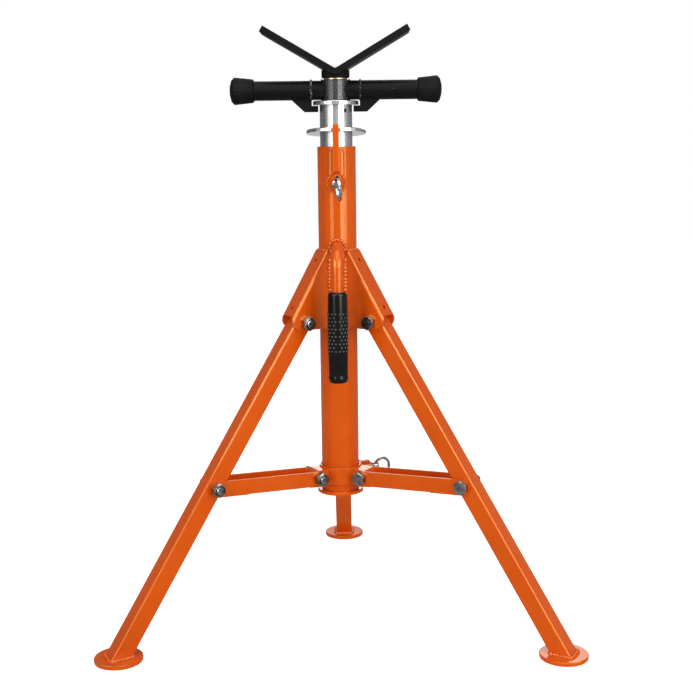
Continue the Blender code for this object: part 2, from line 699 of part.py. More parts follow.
def handle_arm(name, side):
    """Tube arm from the hub to the floor of its end cap."""
    root = sqrt(HUB_RADIUS ** 2 - ARM_RADIUS ** 2) - OVERRUN
    end = CAP_END - CAP_FLOOR - SEAT
    bore = ARM_RADIUS - ARM_WALL
    profile = [(ARM_RADIUS, end), (ARM_RADIUS, root), (bore, root), (bore, end)]
    along = frame("arm_axis", side, (0, 0, ARM_Z), (0, pi / 2, 0))
    arm = turned(name, profile, ring=True, segments=ROUND_SMALL, parent=along, finish=BLACK_PAINT)
    seat = rod("arm_seat", HUB_RADIUS + SEAT, ARM_Z - 2 * ARM_RADIUS, ARM_Z + 2 * ARM_RADIUS,
               segments=ROUND_LARGE, parent=side)
    combine(arm, seat)


def end_cap(name, side):
    """Rubber cap that widens outwards, with a chamfer and a low dome on its end."""
    floor = CAP_END - CAP_FLOOR
    bore = ARM_RADIUS + SEAT
    shoulder = CAP_END - CAP_DOME - CAP_CHAMFER
    face = CAP_LARGE_RADIUS - CAP_CHAMFER
    profile = [(0, CAP_END), (face / 2, CAP_END - CAP_DOME / 4), (face, CAP_END - CAP_DOME),
               (CAP_LARGE_RADIUS, shoulder), (CAP_SMALL_RADIUS, ARM_EXPOSED_END + CAP_LIP),
               (CAP_SMALL_RADIUS - CAP_LIP, ARM_EXPOSED_END), (bore, ARM_EXPOSED_END),
               (bore, floor), (0, floor)]
    along = frame("cap_axis", side, (0, 0, ARM_Z), (0, pi / 2, 0))
    turned(name, profile, segments=ROUND_SMALL, parent=along, finish=BLACK_RUBBER)


def hook_plate(name, side):
    """Plate under an arm whose hook grips the top flange from below."""
    lip = FLANGE_BOTTOM - HOOK_LIP_GAP
    slot = TOP_FLANGE_RADIUS + HOOK_FLANGE_GAP
    under_arm = ARM_Z - ARM_RADIUS
    inside_arm = ARM_Z - ARM_RADIUS / 2
    outline = [(HOOK_INNER, HOOK_BOTTOM), (HOOK_TIP, HOOK_BOTTOM), (HOOK_ROOT, under_arm),
               (HOOK_ROOT, inside_arm), (slot, inside_arm), (slot, lip), (HOOK_INNER, lip)]
    plate = upright(name, outline, HOOK_THICKNESS, parent=side, finish=BLACK_PAINT)
    along = frame("arm_cut_axis", side, (0, 0, ARM_Z), (0, pi / 2, 0))
    combine(plate, rod("arm_cut", ARM_RADIUS + SEAT, 0, CAP_END, segments=ROUND_LARGE, parent=along))


# Tripod: brackets, collar, braces, legs, feet and bolts

def bracket_mesh():
    """Bent sheet bracket in the upright plane of its leg, cut to the post."""
    top = (POST_RADIUS + SEAT, 0, BRACKET_TOP_Z)
    slope = (0, -BRACKET_SLOPE, 0)
    web = frame("web", None, top, slope)
    length = 2 * (BRACKET_TOP_Z - BRACKET_LOW_Z)
    sheet = channel_outline(BRACKET_WIDTH, length, BRACKET_SHEET, BRACKET_BEND)
    down_web = frame("down_web", web, (0, 0, -length / 2))
    bracket = prism("bracket", [sheet], length, parent=down_web)
    corner = (BRACKET_LOW_OUT - BRACKET_CORNER, BRACKET_LOW_Z + BRACKET_CORNER)
    side = [(0, BRACKET_LOW_Z)] + arc(corner, BRACKET_CORNER, -pi / 2, 0)
    side += [(BRACKET_LOW_OUT, BRACKET_TOP_Z + BRACKET_CORNER), (0, BRACKET_TOP_Z + BRACKET_CORNER)]
    combine(bracket, upright("side", side, BRACKET_WIDTH + OVERRUN), "INTERSECT")
    half_web = BRACKET_WIDTH / 2 - BRACKET_BEND
    combine(bracket, box("open_foot", (HIP_OUT, -half_web, BRACKET_LOW_Z - OVERRUN),
                         (BRACKET_LOW_OUT + OVERRUN, half_web, BRACKET_WEB_END_Z)))
    combine(bracket, rod("post_cut", POST_RADIUS + SEAT, BRACKET_LOW_Z - OVERRUN,
                         BRACKET_TOP_Z + BRACKET_CORNER, segments=ROUND_LARGE))
    combine(bracket, cross_hole((HIP_OUT, HIP_Z), BRACKET_WIDTH))
    for inset in BRACKET_HOLE_INSETS:
        through = frame("through_web", web, (0, 0, -inset), (0, pi / 2, 0))
        combine(bracket, rod("web_hole", BRACKET_HOLE_RADIUS, -2 * BRACKET_SHEET, OVERRUN,
                             segments=ROUND_HOLE, parent=through))
    return in_leg_plane(baked(bracket), down_web)


def in_leg_plane(mesh, holder_frame):
    """Mesh points moved from the frame that held the object to the leg's upright plane."""
    bpy.context.view_layer.update()
    mesh.transform(holder_frame.matrix_world)
    return mesh


def cross_hole(place, width):
    """Cutter for a bolt hole across a leg's upright plane, at (out, height)."""
    reach = width / 2 + OVERRUN
    return rod("cross_hole", BOLT_HOLE_RADIUS, -reach, reach, segments=ROUND_HOLE,
               location=(place[0], 0, place[1]), rotation=(pi / 2, 0, 0))


def brace_mesh():
    """Channel brace: Z along it from the collar pivot, X away from its open side."""
    web_face = BRACE_DEPTH - BRACE_PIVOT_BELOW_LIP
    lobe_centre = web_face - BRACE_LOBE
    length = BRACE_LENGTH + 2 * BRACE_LOBE + 2 * OVERRUN
    sheet = channel_outline(BRACE_WIDTH, BRACE_DEPTH + OVERRUN, BRACE_SHEET, BRACE_BEND, web_face)
    middle = (0, 0, BRACE_LENGTH / 2)
    brace = prism("brace", [sheet], length, location=middle)
    side = arc((lobe_centre, 0), BRACE_LOBE, 0, -pi)
    side += arc((lobe_centre, BRACE_LENGTH), BRACE_LOBE, pi, 0)
    combine(brace, upright("side", side, BRACE_WIDTH + OVERRUN), "INTERSECT")
    half_web = BRACE_WIDTH / 2 - BRACE_BEND
    low = web_face - BRACE_BEND
    high = web_face + OVERRUN
    ends = ((-BRACE_LOBE - OVERRUN, BRACE_WEB_START),
            (BRACE_WEB_END, BRACE_LENGTH + BRACE_LOBE + OVERRUN))
    for start, end in ends:
        combine(brace, box("web_end", (low, -half_web, start), (high, half_web, end)))
    combine(brace, cross_hole((0, 0), BRACE_WIDTH))
    rim = []
    for along, below in knee_path():
        rim += arc((below, along), BOLT_HOLE_RADIUS, 0, 2 * pi, steps=ROUND_HOLE)
    combine(brace, upright("knee_slot", hull(rim), BRACE_WIDTH + OVERRUN))
    mesh = baked(brace)
    mesh.transform(Matrix.Translation(middle))
    return mesh


def leg_mesh():
    """Square tube with the hip bolt at its origin and Z up along it, cut level above its foot."""
    along = frame("along_leg", None, (0, 0, 0), (0, -LEG_SLOPE, 0))
    length = HIP_Z / cos(LEG_SLOPE) + LEG_DEPTH + LEG_ABOVE_HIP
    centre = (LEG_CENTRE, 0, LEG_ABOVE_HIP - length / 2)
    outline = rounded_rectangle(LEG_DEPTH, LEG_WIDTH, LEG_CORNER, FINE_STEPS)
    bore = rounded_rectangle(LEG_DEPTH - 2 * LEG_WALL, LEG_WIDTH - 2 * LEG_WALL,
                             LEG_CORNER - LEG_WALL, 1)
    leg = prism("leg", [outline, bore], length, parent=along, location=centre)
    floor = FOOT_THICKNESS + SEAT - HIP_Z
    reach = HIP_Z * tan(LEG_SLOPE)
    combine(leg, box("level_cut", (0, -LEG_WIDTH, floor - LEG_DEPTH * 2), (2 * reach, LEG_WIDTH, floor)))
    for down in (0, KNEE_DOWN_LEG):
        place = (down * sin(LEG_SLOPE), -down * cos(LEG_SLOPE))
        combine(leg, cross_hole(place, LEG_WIDTH))
    mesh = baked(leg)
    mesh.transform(Matrix.Translation(centre))
    return mesh


def rounded_rectangle(width, height, corner, steps):
    half_width = width / 2 - corner
    half_height = height / 2 - corner
    outline = []
    for quarter, (x, y) in enumerate(((1, 1), (-1, 1), (-1, -1), (1, -1))):
        start = quarter * pi / 2
        outline += arc((x * half_width, y * half_height), corner, start, start + pi / 2, steps)
    return outline


def foot_mesh():
    rim = FOOT_RADIUS - EDGE
    profile = [(0, FOOT_THICKNESS), (rim, FOOT_THICKNESS), (FOOT_RADIUS, FOOT_THICKNESS - EDGE),
               (FOOT_RADIUS, 0), (0, 0)]
    return baked(turned("foot", profile))


def six_sided(name, profile, ring=False):
    """A turned shape whose wide sections are cut to a hexagon."""
    heights = [height for radius, height in profile]
    corner = HEX_ACROSS_FLATS / 2 / cos(pi / 6)
    body = rod(name, corner, min(heights) - OVERRUN, max(heights) + OVERRUN, segments=6)
    limit = turned("limit", profile, ring=ring, segments=ROUND_HOLE)
    return baked(combine(body, limit, "INTERSECT"))


def bolt_mesh(width):
    """M10 bolt through a width centred on its origin, with its head at the bottom."""
    corner = HEX_ACROSS_FLATS / 2 / cos(pi / 6)
    face = HEX_ACROSS_FLATS / 2 - EDGE / 2
    top = -width / 2 - SEAT
    bottom = top - HEAD_HEIGHT
    end = width / 2 + SEAT + NUT_HEIGHT + NUT_CROWN_HEIGHT + BOLT_PROUD
    profile = [(0, end), (BOLT_RADIUS - EDGE, end), (BOLT_RADIUS, end - EDGE), (BOLT_RADIUS, top),
               (corner + OVERRUN, top), (corner + OVERRUN, bottom + HEX_CHAMFER * 2),
               (corner, bottom + HEX_CHAMFER), (face, bottom), (0, bottom)]
    return six_sided("bolt", profile)


def nut_mesh():
    """M10 lock nut standing on its seat, with the crown of its plastic ring on top."""
    corner = HEX_ACROSS_FLATS / 2 / cos(pi / 6)
    face = HEX_ACROSS_FLATS / 2 - EDGE / 2
    crown = NUT_HEIGHT + NUT_CROWN_HEIGHT
    profile = [(NUT_CROWN_RADIUS - EDGE, crown), (NUT_CROWN_RADIUS, crown - EDGE),
               (NUT_CROWN_RADIUS, NUT_HEIGHT), (face, NUT_HEIGHT),
               (corner, NUT_HEIGHT - HEX_CHAMFER), (corner, HEX_CHAMFER), (face, 0),
               (BOLT_HOLE_RADIUS, 0), (BOLT_HOLE_RADIUS, crown)]
    return six_sided("nut", profile, ring=True)


def slide_collar(post, leg_frames):
    """Ring that slides on the post, with a lug for each brace."""
    top = COLLAR_BOTTOM + COLLAR_HEIGHT
    rim = COLLAR_RADIUS - COLLAR_EDGE
    profile = [(0, top), (rim, top), (COLLAR_RADIUS, top - COLLAR_EDGE),
               (COLLAR_RADIUS, COLLAR_BOTTOM + COLLAR_EDGE), (rim, COLLAR_BOTTOM), (0, COLLAR_BOTTOM)]
    collar = turned("slide_collar", profile, parent=post, finish=ORANGE)
    centre = (COLLAR_PIVOT_OUT, COLLAR_PIVOT_Z)
    root = COLLAR_BORE / 2
    outline = arc(centre, LUG_RADIUS, -pi / 2, pi / 2, steps=ROUND_HOLE // 2)
    outline += [(root, COLLAR_PIVOT_Z + LUG_RADIUS), (root, COLLAR_PIVOT_Z - LUG_RADIUS)]
    for leg_frame in leg_frames:
        combine(collar, upright("lug", outline, LUG_WIDTH, parent=leg_frame), "UNION")
    combine(collar, rod("collar_bore", COLLAR_BORE, COLLAR_BOTTOM - OVERRUN, top + OVERRUN,
                        segments=ROUND_LARGE, parent=post))
    for leg_frame in leg_frames:
        hole = cross_hole(centre, LUG_WIDTH)
        hole.parent = leg_frame
        combine(collar, hole)
    combine(collar, radial_hole(post, PIN_HOLE_RADIUS, COLLAR_PIN_AZIMUTH, COLLAR_PIN_Z,
                                COLLAR_RADIUS + OVERRUN))


def fasten(name, carrier, bolt, nut, width, finish=ZINC):
    """A bolt across a leg's plane with its nut on the side that turns towards the next leg."""
    across = (-pi / 2, 0, 0)
    add(name + "_bolt_" + carrier.name[-1], bolt, parent=carrier, rotation=across, finish=finish)
    add(name + "_nut_" + carrier.name[-1], nut, parent=carrier, rotation=across,
        location=(0, width / 2 + SEAT, 0), finish=finish)


def tripod(post):
    leg_frames = [frame("leg_frame_" + str(number), post, (0, 0, 0), (0, 0, azimuth))
                  for number, azimuth in enumerate(LEG_AZIMUTHS, 1)]
    slide_collar(post, leg_frames)
    bracket = bracket_mesh()
    brace = brace_mesh()
    leg = leg_mesh()
    foot = foot_mesh()
    bracket_bolt = bolt_mesh(BRACKET_WIDTH)
    brace_bolt = bolt_mesh(BRACE_WIDTH)
    nut = nut_mesh()
    for number, leg_frame in enumerate(leg_frames, 1):
        last = "_" + str(number)
        add("leg_bracket" + last, bracket, parent=leg_frame, finish=ORANGE)
        hip = frame("hip" + last, leg_frame, (HIP_OUT, 0, HIP_Z))
        fasten("leg", hip, bracket_bolt, nut, BRACKET_WIDTH)
        add("leg_tube" + last, leg, parent=hip, rotation=(0, -LEG_SLOPE, 0), finish=ORANGE)
        add("foot_disc" + last, foot, parent=hip, location=(FOOT_OUT - HIP_OUT, 0, -HIP_Z),
            finish=ORANGE)
        knee = frame("knee" + last, hip, (KNEE_OUT - HIP_OUT, 0, KNEE_Z - HIP_Z))
        fasten("brace", knee, brace_bolt, nut, BRACE_WIDTH)
        lug = frame("collar_pivot" + last, leg_frame, (COLLAR_PIVOT_OUT, 0, COLLAR_PIVOT_Z))
        fasten("collar", lug, brace_bolt, nut, BRACE_WIDTH)
        add("brace" + last, brace, parent=lug, rotation=(0, pi / 2 - BRACE_RISE, 0), finish=ORANGE)


def stand():
    post = frame("post_axis", None, (0, POST_Y, 0))
    front = frame("front", post, (0, 0, 0), (0, 0, FRONT))
    outer_tube(post)
    bottom_stop_ring(post)
    guide_plate(front)
    carry_handle(front)
    handle_grip(front)
    inner_tube(post)
    top_flange(post)
    guide_ring(post)
    guide_pin(post)
    plunger("front", post, FRONT, FRONT_PIN_Z, FRONT_TIP, POST_RADIUS, ORANGE)
    plunger("collar", post, COLLAR_PIN_AZIMUTH, COLLAR_PIN_Z, COLLAR_TIP, COLLAR_RADIUS, ORANGE)
    jack_screw(post)
    v_plate(post)
    head_block(post)
    nut_hub(post)
    for name, turn in (("left", pi), ("right", 0)):
        side = frame("side_" + name, post, (0, 0, 0), (0, 0, turn))
        handle_arm("handle_arm_" + name, side)
        end_cap("end_cap_" + name, side)
        hook_plate("hook_plate_" + name, side)
    tripod(post)


empty_scene()
parts = collection(NAME)
cutters = collection("cutters")
stand()
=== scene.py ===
from math import cos, pi, radians, sin

import bmesh
import bpy
import numpy as np
from mathutils import Matrix, Vector


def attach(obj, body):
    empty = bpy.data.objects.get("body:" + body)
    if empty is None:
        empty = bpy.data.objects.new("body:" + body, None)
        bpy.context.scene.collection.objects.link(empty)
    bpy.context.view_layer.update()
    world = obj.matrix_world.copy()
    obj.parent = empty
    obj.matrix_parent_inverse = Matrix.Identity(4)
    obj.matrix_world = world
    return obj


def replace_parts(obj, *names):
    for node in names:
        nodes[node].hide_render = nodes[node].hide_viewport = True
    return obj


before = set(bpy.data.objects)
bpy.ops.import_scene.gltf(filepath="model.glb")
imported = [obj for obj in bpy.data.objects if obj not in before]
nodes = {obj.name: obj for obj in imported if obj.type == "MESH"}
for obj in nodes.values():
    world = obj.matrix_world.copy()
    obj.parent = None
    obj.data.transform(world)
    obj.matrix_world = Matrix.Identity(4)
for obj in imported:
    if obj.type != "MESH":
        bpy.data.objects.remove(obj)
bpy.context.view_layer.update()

# Sizes of the stand in metres, out from the post axis and up from the floor
POST_Y = -0.0777744
POST_R = 0.02415
COLLAR_R = 0.0275
INNER_R = 0.02025
HUB_R = 0.0171
ARM_Z = 0.680
SCREW_TOP = 0.6945
HANDLE_Z = 0.486
HANDLE_REACH = 0.066
FRONT_PLUNGER_Z = 0.5657
COLLAR_PLUNGER_Z = 0.190
FOOT_OUT = 0.3110978
FOOT_TOP = 0.0054
LEG_WIDTH = 0.0228

# Bolts of a leg and its brace as (out, up), and the slopes between them
HIP = (0.0535, 0.393)
KNEE = (0.1817693, 0.1978029)
PIVOT = (0.038, 0.1895029)
NUT_FACE = 0.0099
LEG_SLOPE = radians(33.31)
BRACE_RISE = radians(3.3041)

# Directions seen from above, counted from the right
FRONT = -pi / 2
LEG_AZIMUTHS = (radians(210), radians(330), radians(90))


# Meshes from grids of points

def surface(name, points, round_u=False, round_v=False, smooth=35):
    """Quads over a grid of points (rows u, columns v, xyz), joined round where asked."""
    rows, columns = points.shape[:2]
    u = np.arange(rows if round_u else rows - 1)
    v = np.arange(columns if round_v else columns - 1)
    u, v = np.meshgrid(u, v, indexing="ij")
    across, down = (u + 1) % rows, (v + 1) % columns
    quads = np.stack([u * columns + v, across * columns + v, across * columns + down,
                      u * columns + down], -1).reshape(-1, 4)
    return mesh_object(name, points.reshape(-1, 3), quads, smooth)


def mesh_object(name, points, faces, smooth=35):
    """Object of points and equal-sided faces, shaded smooth up to an edge angle in degrees."""
    mesh = bpy.data.meshes.new(name)
    mesh.from_pydata(np.asarray(points).tolist(), [], np.asarray(faces).tolist())
    mesh.validate()
    work = bpy.data.objects.new(name, mesh)
    bpy.context.scene.collection.objects.link(work)
    outward(mesh)
    mesh.shade_smooth()
    mesh.set_sharp_from_angle(angle=radians(smooth))
    return work


def outward(mesh):
    """Doubles merged and faces turned outwards."""
    work = bmesh.new()
    work.from_mesh(mesh)
    bmesh.ops.remove_doubles(work, verts=work.verts, dist=0.000001)
    bmesh.ops.dissolve_degenerate(work, dist=0.0000005, edges=work.edges)
    bmesh.ops.recalc_face_normals(work, faces=work.faces)
    work.to_mesh(mesh)
    work.free()


def basis(azimuth):
    """Matrix of a leg's upright plane: X outwards, Y across, Z up, origin on the post axis."""
    return Matrix.Translation((0, POST_Y, 0)) @ Matrix.Rotation(azimuth, 4, "Z")


def placed(points, matrix):
    """Points of any shape carried through a 4 x 4 matrix."""
    m = np.array(matrix)
    return points @ m[:3, :3].T + m[:3, 3]


def turned(name, profile, body, finish, matrix=None, sides=96, smooth=35, closed=True):
    """Profile of (radius, height) points carried round Z; one not closed ends on the axis."""
    profile = np.asarray(profile, float)
    angle = np.linspace(0, 2 * pi, sides, endpoint=False)
    ring = np.stack([np.cos(angle), np.sin(angle)], -1)
    flat = profile[:, None, :1] * ring[None]
    height = np.broadcast_to(profile[:, None, 1:], flat.shape[:2] + (1,))
    points = np.concatenate([flat, height], -1)
    points = placed(points, Matrix.Translation((0, POST_Y, 0)) if matrix is None else matrix)
    piece = surface(name, points, round_u=closed, round_v=True, smooth=smooth)
    return dress(piece, body, finish)


def tube_along(name, path, radius, body, finish, sides=24, smooth=60, closed=False):
    """Circle carried along a path of points, with one radius or a radius for each point."""
    path = np.asarray(path, float)
    if closed:
        ahead = np.roll(path, -1, 0) - np.roll(path, 1, 0)
    else:
        ahead = np.gradient(path, axis=0)
    ahead /= np.linalg.norm(ahead, axis=1, keepdims=True)
    side = carried_side(ahead)
    up = np.cross(ahead, side)
    angle = np.linspace(0, 2 * pi, sides, endpoint=False)
    radius = np.broadcast_to(radius, len(path))[:, None, None]
    points = path[:, None] + radius * (np.cos(angle)[None, :, None] * side[:, None]
                                       + np.sin(angle)[None, :, None] * up[:, None])
    if not closed:
        ends = np.broadcast_to(path[[0, -1]][:, None], (2, sides, 3))
        points = np.concatenate([ends[:1], points, ends[1:]])
    piece = surface(name, points, round_u=closed, round_v=True, smooth=smooth)
    return dress(piece, body, finish)


def carried_side(ahead):
    """A direction square to each step of a path, the same one turned as little as possible."""
    guess = np.array([0.0, 0.0, 1.0]) if abs(ahead[0][2]) < 0.9 else np.array([1.0, 0.0, 0.0])
    side = []
    for step in ahead:
        guess = guess - step * (guess @ step)
        guess = guess / np.linalg.norm(guess)
        side.append(guess)
    return np.array(side)


def dress(piece, body, finish):
    """Gives a piece its finish, the body it rides on and the slot of its material."""
    piece.data.materials.clear()
    piece.data.materials.append(finishes[finish])
    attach(piece, body)
    return piece


# Finishes

def node_tree(name):
    """New material with its tree, its shader and the place of a point on the object."""
    material = bpy.data.materials.new(name)
    material.use_nodes = True
    tree = material.node_tree
    shader = tree.nodes["Principled BSDF"]
    place = tree.nodes.new("ShaderNodeTexCoord").outputs["Object"]
    return material, tree, shader, place


def stretched(tree, place, scale):
    """The place times a scale on each axis, which draws a noise out or together."""
    mapping = tree.nodes.new("ShaderNodeMapping")
    mapping.inputs["Scale"].default_value = scale
    tree.links.new(place, mapping.inputs["Vector"])
    return mapping.outputs["Vector"]


def noise(tree, place, scale, detail=3.0, roughness=0.5):
    """Cloudy value from 0 to 1; the scale is in clouds a metre."""
    node = tree.nodes.new("ShaderNodeTexNoise")
    node.inputs["Scale"].default_value = scale
    node.inputs["Detail"].default_value = detail
    node.inputs["Roughness"].default_value = roughness
    tree.links.new(place, node.inputs["Vector"])
    return node.outputs["Fac"]


def spread(tree, value, low, high, start=0.3, end=0.7):
    """A value between start and end, such as a noise, spread from low to high."""
    node = tree.nodes.new("ShaderNodeMapRange")
    node.inputs["From Min"].default_value = start
    node.inputs["From Max"].default_value = end
    node.inputs["To Min"].default_value = low
    node.inputs["To Max"].default_value = high
    tree.links.new(value, node.inputs["Value"])
    return node.outputs["Result"]


def ramp(tree, value, stops):
    """Colours at the places of a value, such as a noise."""
    node = tree.nodes.new("ShaderNodeValToRGB")
    band = node.color_ramp
    while len(band.elements) < len(stops):
        band.elements.new(0.5)
    for element, (where, colour) in zip(band.elements, stops):
        element.position = where
        element.color = (*colour, 1)
    tree.links.new(value, node.inputs["Fac"])
    return node.outputs["Color"]


def mixed(tree, share, colour, other):
    """A colour that goes over to another, fixed one as a share rises from 0 to 1."""
    mix = tree.nodes.new("ShaderNodeMix")
    mix.data_type = "RGBA"
    tree.links.new(share, mix.inputs["Factor"])
    tree.links.new(colour, mix.inputs["A"])
    mix.inputs["B"].default_value = other
    return mix.outputs["Result"]


def from_axis(tree, place, axis):
    """Distance from an upright axis: the length of (place - axis) times (1, 1, 0)."""
    flat = place
    for operation, other in (("SUBTRACT", axis), ("MULTIPLY", (1, 1, 0))):
        node = tree.nodes.new("ShaderNodeVectorMath")
        node.operation = operation
        node.inputs[1].default_value = other
        tree.links.new(flat, node.inputs[0])
        flat = node.outputs["Vector"]
    length = tree.nodes.new("ShaderNodeVectorMath")
    length.operation = "LENGTH"
    tree.links.new(flat, length.inputs[0])
    return length.outputs["Value"]


def bumped(tree, shader, heights):
    """Bumps laid over each other: (height, distance in metres, strength) of each."""
    normal = None
    for height, distance, strength in heights:
        node = tree.nodes.new("ShaderNodeBump")
        node.inputs["Distance"].default_value = distance
        node.inputs["Strength"].default_value = strength
        tree.links.new(height, node.inputs["Height"])
        if normal:
            tree.links.new(normal, node.inputs["Normal"])
        normal = node.outputs["Normal"]
    tree.links.new(normal, shader.inputs["Normal"])


def powder_coat(name="orange_powder_coat", shine=0.6, tint=(1.0, 0.80, 0.34, 1),
                rough=(0.09, 0.15)):
    """Glossy orange powder coat: orange-peel skin and a slow drift of colour."""
    material, tree, shader, place = node_tree(name)
    drift = noise(tree, place, 14, 3)
    colour = ramp(tree, drift, [(0.25, (0.64, 0.079, 0.0025)), (0.5, (0.69, 0.089, 0.0032)),
                                (0.78, (0.73, 0.100, 0.0045))])
    tree.links.new(colour, shader.inputs["Base Color"])
    tree.links.new(spread(tree, noise(tree, place, 60, 4), *rough), shader.inputs["Roughness"])
    shader.inputs["Specular IOR Level"].default_value = shine
    shader.inputs["Specular Tint"].default_value = tint
    bumped(tree, shader, [(noise(tree, place, 420, 2), 0.00010, 0.22),
                          (noise(tree, place, 2600, 1), 0.00003, 0.15)])
    return material


def bright_steel():
    """Drawn and turned steel with fine lines that run round it and a cloudy tone."""
    material, tree, shader, place = node_tree("bright_steel")
    lines = noise(tree, stretched(tree, place, (9, 9, 4200)), 1.0, 2, 0.5)
    cloud = noise(tree, place, 40, 4)
    tree.links.new(ramp(tree, cloud, [(0.3, (0.55, 0.56, 0.58)), (0.7, (0.64, 0.64, 0.65))]),
                   shader.inputs["Base Color"])
    shader.inputs["Metallic"].default_value = 1
    tree.links.new(spread(tree, lines, 0.255, 0.275), shader.inputs["Roughness"])
    bumped(tree, shader, [(lines, 0.000003, 0.04)])
    return material


def zinc(name="zinc_steel", light=(0.44, 0.43, 0.42), dark=(0.17, 0.17, 0.175),
         rough=(0.16, 0.28)):
    """Zinc plate with its small crystals and a cloudy shine."""
    material, tree, shader, place = node_tree(name)
    cloud = noise(tree, place, 170, 5, 0.6)
    tree.links.new(ramp(tree, cloud, [(0.32, dark), (0.62, light)]), shader.inputs["Base Color"])
    shader.inputs["Metallic"].default_value = 1
    tree.links.new(spread(tree, noise(tree, place, 320, 3), *rough), shader.inputs["Roughness"])
    bumped(tree, shader, [(noise(tree, place, 900, 2), 0.00004, 0.3)])
    return material


def black_paint(name, grey, rough, peel, scratches=0.0, specular=0.5, bare=0.0,
                grain=(140, 140, 900)):
    """Black paint with its peel and, where scratches meet a patch, bare pale metal."""
    material, tree, shader, place = node_tree(name)
    cloud = noise(tree, place, 35, 4)
    dark = tuple(channel * 0.75 for channel in grey)
    colour = ramp(tree, cloud, [(0.3, dark), (0.7, grey)])
    if scratches:
        rub = noise(tree, stretched(tree, place, grain), 1.0, 4, 0.7)
        patch = noise(tree, place, 26, 2)
        both = tree.nodes.new("ShaderNodeMath")
        both.operation = "MULTIPLY"
        rubbed = spread(tree, rub, 0, 1, 0.66 - 2 * bare, 0.72 - 2 * bare)
        patched = spread(tree, patch, 0, scratches, 0.58 - 2 * bare, 0.66 - 2 * bare)
        tree.links.new(rubbed, both.inputs[0])
        tree.links.new(patched, both.inputs[1])
        colour = mixed(tree, both.outputs[0], colour, (0.42, 0.42, 0.41, 1))
    tree.links.new(colour, shader.inputs["Base Color"])
    shader.inputs["Specular IOR Level"].default_value = specular
    tree.links.new(spread(tree, noise(tree, place, 90, 4), *rough), shader.inputs["Roughness"])
    bumped(tree, shader, [(noise(tree, place, peel[0], 2), peel[1], peel[2])])
    return material


def rubber(name, rough, grain, shine=0.25, glint_tips=None):
    """Moulded rubber, finely pitted; glint_tips gives an axis and the radii over which it turns
    pale, a painted highlight on the outermost tips.
    """
    material, tree, shader, place = node_tree(name)
    cloud = noise(tree, place, 50, 4)
    colour = ramp(tree, cloud, [(0.3, (0.004, 0.004, 0.0045)), (0.7, (0.008, 0.008, 0.0085))])
    if glint_tips:
        axis, radii = glint_tips
        # painted highlight: beyond these radii from the axis the dot tips turn pale grey, standing
        # in for glints
        share = spread(tree, from_axis(tree, place, axis), 0, 1, *radii)
        colour = mixed(tree, share, colour, (0.16, 0.16, 0.16, 1))
    tree.links.new(colour, shader.inputs["Base Color"])
    shader.inputs["Specular IOR Level"].default_value = shine
    tree.links.new(spread(tree, noise(tree, place, 140, 4), *rough), shader.inputs["Roughness"])
    bumped(tree, shader, [(noise(tree, place, 1500, 3), 0.00006, grain),
                          (noise(tree, place, 240, 2), 0.00012, grain)])
    return material


finishes = {
    "orange": powder_coat(),
    "orange_bead": powder_coat("orange_bead", 0.9, (1.0, 0.84, 0.42, 1), (0.16, 0.24)),
    "steel": bright_steel(),
    "zinc": zinc(),
    "dull_zinc": zinc("dull_zinc", (0.50, 0.495, 0.49), (0.10, 0.10, 0.105), (0.14, 0.26)),
    "chrome": zinc("chromed_wire", (0.58, 0.59, 0.60), (0.34, 0.35, 0.36), (0.06, 0.13)),
    "yellow_zinc": zinc("yellow_zinc", (0.62, 0.52, 0.30), (0.40, 0.33, 0.20), (0.25, 0.4)),
    "paint": black_paint("black_paint", (0.0065, 0.0065, 0.007), (0.34, 0.44), (500, 0.00005, 0.25),
                         scratches=0.9, specular=0.09),
    "plate": black_paint("black_plate", (0.012, 0.012, 0.0125), (0.44, 0.56), (900, 0.00007, 0.4),
                         specular=0.03),
    "hammered": black_paint("hammered_black", (0.012, 0.012, 0.013), (0.24, 0.36),
                            (620, 0.00035, 0.8), specular=0.8),
    "rubber": rubber("cap_rubber", (0.5, 0.66), 0.5, 0.07),
    "worn_weld": black_paint("worn_weld", (0.016, 0.016, 0.016), (0.35, 0.5), (700, 0.0001, 0.5),
                             scratches=1.0, specular=0.12, bare=0.055, grain=(480, 480, 300)),
    "plastic": rubber("lock_ring_plastic", (0.3, 0.4), 0.2),
    # the grip's dot tips carry a painted highlight, pale grey past 12.8 mm from its axis
    "grip": rubber("grip_rubber", (0.11, 0.18), 0.2, 0.22,
                   glint_tips=((0, POST_Y - HANDLE_REACH, 0), (0.0128, 0.0133))),
}


def finish_of(name):
    """The finish of a node of the frame, told from its name."""
    if name in ("inner_tube", "top_flange", "guide_ring"):
        return "steel"
    if name in ("v_plate", "head_block"):
        return "plate"
    if name == "nut_hub":
        return "hammered"
    if name.startswith(("handle_arm", "hook_plate")):
        return "paint"
    if name.startswith("end_cap"):
        return "rubber"
    if name == "handle_grip":
        return "grip"
    if name.endswith("pull_ring"):
        return "chrome"
    if name.startswith(("brace_bolt", "collar_bolt")):
        return "dull_zinc"
    if "bolt" in name or "_nut_" in name or name.endswith("_pin") or name == "jack_screw":
        return "zinc"
    return "orange"


for name, node in nodes.items():
    for slot in node.material_slots:
        slot.material = finishes[finish_of(name)]


# Welds: a rippled bead carried along a seam

